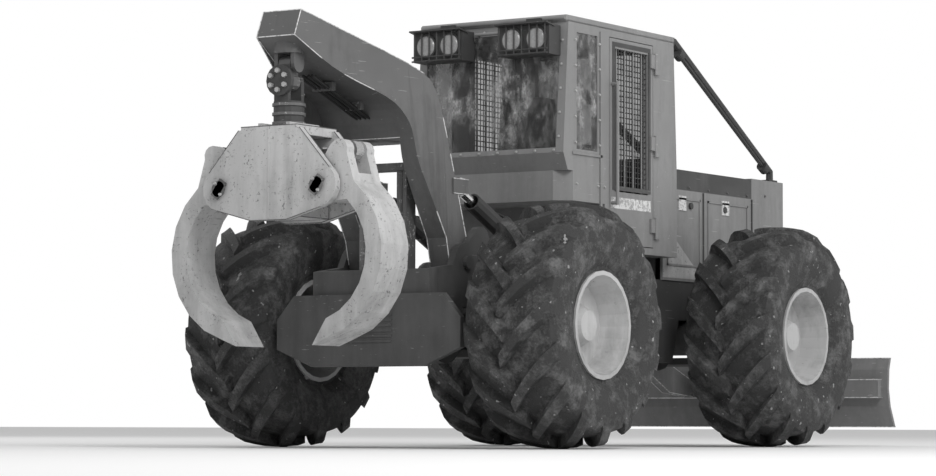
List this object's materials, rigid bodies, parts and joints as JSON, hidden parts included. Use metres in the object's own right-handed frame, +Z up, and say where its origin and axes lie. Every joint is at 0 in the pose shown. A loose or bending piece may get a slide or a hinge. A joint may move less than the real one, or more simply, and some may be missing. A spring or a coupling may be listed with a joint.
{
  "type": "grapple skidder",
  "caption": "Articulated rubber-tyred grapple skidder with enclosed cab, swinging boom, rotating grapple, winch and front dozer blade.",
  "frame": {"origin": "on the ground under the articulation joint, midway between the axles and in the middle plane", "axes": "+X forward towards the blade, +Y to the operator's left, +Z up"},
  "size_m": [6.635, 2.99, 3.025],
  "materials": {
    "body_paint": "worn mid-grey enamel with mud splashes and scratches",
    "dark_paint": "dark worn paint, greasy and dusty",
    "boom_paint": "grey enamel, scuffed to bare steel along its edges",
    "grapple_paint": "pale worn paint with scraped steel and bark stains",
    "tyre_rubber": "black rubber caked with dried pale mud",
    "rim_paint": "pale enamel under dirt",
    "rod_chrome": "polished hard chrome",
    "window_pane": "scratched polycarbonate",
    "seat_vinyl": "black vinyl"
  },
  "bodies": {
    "front_body": {"front_frame": "dark_paint", "front_axle": "dark_paint", "engine_block": "dark_paint", "hood_top": "dark_paint", "side_shield_right": "body_paint", "side_shield_left": "body_paint", "radiator_cowl": "body_paint", "front_grille": "dark_paint", "cab_shell": "body_paint", "cab_roof": "body_paint", "rear_window": "window_pane", "windshield": "window_pane", "quarter_window_right": "window_pane", "quarter_window_left": "window_pane", "operator_seat": "seat_vinyl", "control_console": "dark_paint", "exhaust_stack": "dark_paint", "limb_riser_right": "body_paint", "limb_riser_left": "body_paint", "work_light_right": "dark_paint", "work_light_left": "dark_paint"},
    "rear_body": {"rear_frame": "dark_paint", "rear_axle": "dark_paint", "fairlead": "dark_paint"},
    "winch": {"winch_drum": "dark_paint"},
    "boom": {"boom": "boom_paint"},
    "swing_link": {"swing_link": "dark_paint"},
    "rotator": {"rotator": "dark_paint"},
    "grapple_head": {"grapple_head": "grapple_paint"},
    "tong_right": {"tong_right": "grapple_paint"},
    "tong_left": {"tong_left": "grapple_paint"},
    "tong_barrel": {"tong_cylinder_barrel": "body_paint"},
    "tong_rod": {"tong_cylinder_rod": "rod_chrome"},
    "blade": {"dozer_blade": "body_paint"},
    "wheel_front_right": {"tyre_front_right": "tyre_rubber", "rim_front_right": "rim_paint"},
    "wheel_front_left": {"tyre_front_left": "tyre_rubber", "rim_front_left": "rim_paint"},
    "wheel_rear_right": {"tyre_rear_right": "tyre_rubber", "rim_rear_right": "rim_paint"},
    "wheel_rear_left": {"tyre_rear_left": "tyre_rubber", "rim_rear_left": "rim_paint"},
    "cab_door_right": {"cab_door_right": "body_paint"},
    "cab_door_left": {"cab_door_left": "body_paint"},
    "steering_barrel_right": {"steering_cylinder_right_barrel": "body_paint"},
    "steering_rod_right": {"steering_cylinder_right_rod": "rod_chrome"},
    "steering_barrel_left": {"steering_cylinder_left_barrel": "body_paint"},
    "steering_rod_left": {"steering_cylinder_left_rod": "rod_chrome"},
    "boom_barrel_right": {"boom_cylinder_right_barrel": "body_paint"},
    "boom_rod_right": {"boom_cylinder_right_rod": "rod_chrome"},
    "boom_barrel_left": {"boom_cylinder_left_barrel": "body_paint"},
    "boom_rod_left": {"boom_cylinder_left_rod": "rod_chrome"},
    "blade_barrel_right": {"blade_cylinder_right_barrel": "body_paint"},
    "blade_rod_right": {"blade_cylinder_right_rod": "rod_chrome"},
    "blade_barrel_left": {"blade_cylinder_left_barrel": "body_paint"},
    "blade_rod_left": {"blade_cylinder_left_rod": "rod_chrome"}
  },
  "joints": [
    {"name": "articulation", "type": "hinge", "parent": "front_body", "child": "rear_body", "pos_m": [0, 0, 0.84], "axis": [0, 0, 1], "range_deg": [-45, 45]},
    {"name": "wheel_front_right_roll", "type": "hinge", "parent": "front_body", "child": "wheel_front_right", "pos_m": [1.46, -1.14, 0.81], "axis": [0, 1, 0], "continuous": true},
    {"name": "wheel_front_left_roll", "type": "hinge", "parent": "front_body", "child": "wheel_front_left", "pos_m": [1.46, 1.14, 0.81], "axis": [0, 1, 0], "continuous": true},
    {"name": "wheel_rear_right_roll", "type": "hinge", "parent": "rear_body", "child": "wheel_rear_right", "pos_m": [-1.46, -1.14, 0.81], "axis": [0, 1, 0], "continuous": true},
    {"name": "wheel_rear_left_roll", "type": "hinge", "parent": "rear_body", "child": "wheel_rear_left", "pos_m": [-1.46, 1.14, 0.81], "axis": [0, 1, 0], "continuous": true},
    {"name": "cab_door_right_swing", "type": "hinge", "parent": "front_body", "child": "cab_door_right", "pos_m": [0.651, -0.635, 2.2], "axis": [0, 0, 1], "range_deg": [0, 85]},
    {"name": "cab_door_left_swing", "type": "hinge", "parent": "front_body", "child": "cab_door_left", "pos_m": [0.651, 0.635, 2.2], "axis": [0, 0, -1], "range_deg": [0, 85]},
    {"name": "steering_barrel_right_turn", "type": "hinge", "parent": "rear_body", "child": "steering_barrel_right", "pos_m": [-0.95, -0.325, 0.84], "axis": [0, 0, 1], "range_deg": [-9, 9]},
    {"name": "steering_rod_right_stroke", "type": "slide", "parent": "steering_barrel_right", "child": "steering_rod_right", "axis": [1, 0, 0], "range_m": [-0.26, 0.26]},
    {"name": "steering_barrel_left_turn", "type": "hinge", "parent": "rear_body", "child": "steering_barrel_left", "pos_m": [-0.95, 0.325, 0.84], "axis": [0, 0, 1], "range_deg": [-9, 9]},
    {"name": "steering_rod_left_stroke", "type": "slide", "parent": "steering_barrel_left", "child": "steering_rod_left", "axis": [1, 0, 0], "range_m": [-0.26, 0.26]},
    {"name": "boom_swing", "type": "hinge", "parent": "rear_body", "child": "boom", "pos_m": [-1.62, 0, 1.24], "axis": [0, 1, 0], "range_deg": [-30, 12]},
    {"name": "boom_barrel_right_turn", "type": "hinge", "parent": "rear_body", "child": "boom_barrel_right", "pos_m": [-0.46, -0.33, 1.27], "axis": [0, 1, 0], "range_deg": [-5, 2.5]},
    {"name": "boom_rod_right_stroke", "type": "slide", "parent": "boom_barrel_right", "child": "boom_rod_right", "axis": [-0.9108, 0, 0.4128], "range_m": [-0.105, 0.255]},
    {"name": "boom_barrel_left_turn", "type": "hinge", "parent": "rear_body", "child": "boom_barrel_left", "pos_m": [-0.46, 0.33, 1.27], "axis": [0, 1, 0], "range_deg": [-5, 2.5]},
    {"name": "boom_rod_left_stroke", "type": "slide", "parent": "boom_barrel_left", "child": "boom_rod_left", "axis": [-0.9108, 0, 0.4128], "range_m": [-0.105, 0.255]},
    {"name": "swing_link_sway", "type": "hinge", "parent": "boom", "child": "swing_link", "pos_m": [-2.98, 0, 2.46], "axis": [0, 1, 0], "range_deg": [-12.5, 30.5]},
    {"name": "rotator_sway", "type": "hinge", "parent": "swing_link", "child": "rotator", "pos_m": [-2.98, 0, 2.35], "axis": [1, 0, 0], "range_deg": [-20, 20]},
    {"name": "grapple_turn", "type": "hinge", "parent": "rotator", "child": "grapple_head", "pos_m": [-2.98, 0, 2.05], "axis": [0, 0, 1], "continuous": true},
    {"name": "tong_right_open", "type": "hinge", "parent": "grapple_head", "child": "tong_right", "pos_m": [-2.98, -0.385, 1.66], "axis": [-1, 0, 0], "range_deg": [-17, 35]},
    {"name": "tong_left_open", "type": "hinge", "parent": "grapple_head", "child": "tong_left", "pos_m": [-2.98, 0.385, 1.66], "axis": [1, 0, 0], "range_deg": [-17.5, 35.5]},
    {"name": "tong_barrel_turn", "type": "hinge", "parent": "tong_left", "child": "tong_barrel", "pos_m": [-2.98, 0.5, 1.885], "axis": [1, 0, 0], "range_deg": [-35.5, 17.5]},
    {"name": "tong_rod_stroke", "type": "slide", "parent": "tong_barrel", "child": "tong_rod", "axis": [0, -1, 0], "range_m": [-0.285, 0.14]},
    {"name": "winch_drum_turn", "type": "hinge", "parent": "rear_body", "child": "winch", "pos_m": [-1.06, 0, 1.12], "axis": [0, 1, 0], "continuous": true},
    {"name": "blade_lift", "type": "hinge", "parent": "front_body", "child": "blade", "pos_m": [2.45, 0, 0.7], "axis": [0, 1, 0], "range_deg": [-20, 15]},
    {"name": "blade_barrel_right_turn", "type": "hinge", "parent": "front_body", "child": "blade_barrel_right", "pos_m": [3.03, -0.26, 1.45], "axis": [0, 1, 0], "range_deg": [-4, 3]},
    {"name": "blade_rod_right_stroke", "type": "slide", "parent": "blade_barrel_right", "child": "blade_rod_right", "axis": [0.1006, 0, -0.9949], "range_m": [-0.235, 0.18]},
    {"name": "blade_barrel_left_turn", "type": "hinge", "parent": "front_body", "child": "blade_barrel_left", "pos_m": [3.03, 0.26, 1.45], "axis": [0, 1, 0], "range_deg": [-4, 3]},
    {"name": "blade_rod_left_stroke", "type": "slide", "parent": "blade_barrel_left", "child": "blade_rod_left", "axis": [0.1006, 0, -0.9949], "range_m": [-0.235, 0.18]}
  ],
  "couplings": [
    {"joint": "steering_barrel_right_turn", "follows": "articulation", "ratio": -0.19},
    {"joint": "steering_rod_right_stroke", "follows": "articulation", "m_per_rad": -0.322},
    {"joint": "steering_barrel_left_turn", "follows": "articulation", "ratio": -0.19},
    {"joint": "steering_rod_left_stroke", "follows": "articulation", "m_per_rad": 0.322},
    {"joint": "boom_barrel_right_turn", "follows": "boom_swing", "ratio": 0.15},
    {"joint": "boom_rod_right_stroke", "follows": "boom_swing", "m_per_rad": -0.4775},
    {"joint": "boom_barrel_left_turn", "follows": "boom_swing", "ratio": 0.15},
    {"joint": "boom_rod_left_stroke", "follows": "boom_swing", "m_per_rad": -0.4775},
    {"joint": "swing_link_sway", "follows": "boom_swing", "ratio": -1},
    {"joint": "tong_left_open", "follows": "tong_right_open", "ratio": 1},
    {"joint": "tong_barrel_turn", "follows": "tong_right_open", "ratio": -1},
    {"joint": "tong_rod_stroke", "follows": "tong_right_open", "m_per_rad": -0.458},
    {"joint": "blade_barrel_right_turn", "follows": "blade_lift", "ratio": 0.19},
    {"joint": "blade_rod_right_stroke", "follows": "blade_lift", "m_per_rad": 0.656},
    {"joint": "blade_barrel_left_turn", "follows": "blade_lift", "ratio": 0.19},
    {"joint": "blade_rod_left_stroke", "follows": "blade_lift", "m_per_rad": 0.656}
  ]
}
